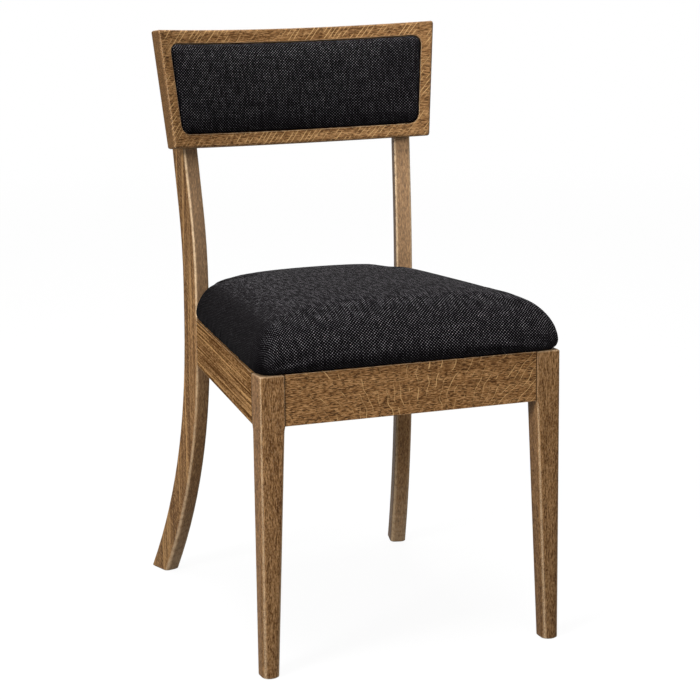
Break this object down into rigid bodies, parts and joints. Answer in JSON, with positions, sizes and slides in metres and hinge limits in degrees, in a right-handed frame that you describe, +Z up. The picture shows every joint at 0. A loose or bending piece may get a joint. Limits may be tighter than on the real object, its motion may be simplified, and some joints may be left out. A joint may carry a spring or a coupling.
{
  "type": "klismos dining chair",
  "caption": "Klismos dining chair with sabre-curved rear legs, a bent crest panel holding an upholstered pad, and a domed upholstered seat over an oak frame.",
  "frame": {"origin": "on the floor, under the middle of the chair's bounding box", "axes": "+Z up, -Y towards the front of the seat, -X towards the left as seen from the front"},
  "size_m": [0.4618, 0.5902, 0.8739],
  "materials": {
    "oak": "smoked medium-brown oak, satin",
    "beech": "plain, unfinished",
    "plywood": "plain, unfinished",
    "foam": "open-cell foam",
    "charcoal_fabric": "coarse charcoal basket weave with pale flecks",
    "dust_cloth": "thin black non-woven cloth",
    "steel": "zinc-plated"
  },
  "bodies": {
    "root": {"front_leg_left": "oak", "front_leg_right": "oak", "rear_leg_left": "oak", "rear_leg_right": "oak", "front_rail": "oak", "side_rail_left": "oak", "side_rail_right": "oak", "rear_rail": "oak", "crest_panel": "oak", "corner_block_front_left": "beech", "corner_block_front_right": "beech", "corner_block_rear_left": "beech", "corner_block_rear_right": "beech", "back_pad_board": "plywood", "back_pad_foam": "foam", "back_pad_cover": "charcoal_fabric", "seat_board": "plywood", "seat_foam": "foam", "seat_cover": "charcoal_fabric", "seat_dust_cover": "dust_cloth", "front_rail_dowel_lower_left": "beech", "front_rail_dowel_lower_right": "beech", "front_rail_dowel_upper_left": "beech", "front_rail_dowel_upper_right": "beech", "side_rail_front_dowel_lower_left": "beech", "side_rail_front_dowel_lower_right": "beech", "side_rail_front_dowel_upper_left": "beech", "side_rail_front_dowel_upper_right": "beech", "side_rail_rear_dowel_lower_left": "beech", "side_rail_rear_dowel_lower_right": "beech", "side_rail_rear_dowel_upper_left": "beech", "side_rail_rear_dowel_upper_right": "beech", "rear_rail_dowel_lower_left": "beech", "rear_rail_dowel_lower_right": "beech", "rear_rail_dowel_upper_left": "beech", "rear_rail_dowel_upper_right": "beech", "crest_dowel_lower_left": "beech", "crest_dowel_lower_right": "beech", "crest_dowel_upper_left": "beech", "crest_dowel_upper_right": "beech", "block_screw_front_across_left": "steel", "block_screw_front_across_right": "steel", "block_screw_front_side_left": "steel", "block_screw_front_side_right": "steel", "seat_screw_front_left": "steel", "seat_screw_front_right": "steel", "block_screw_rear_across_left": "steel", "block_screw_rear_across_right": "steel", "block_screw_rear_side_left": "steel", "block_screw_rear_side_right": "steel", "seat_screw_rear_left": "steel", "seat_screw_rear_right": "steel", "pad_screw_lower_left": "steel", "pad_screw_lower_right": "steel", "pad_screw_upper_left": "steel", "pad_screw_upper_right": "steel"}
  },
  "joints": []
}
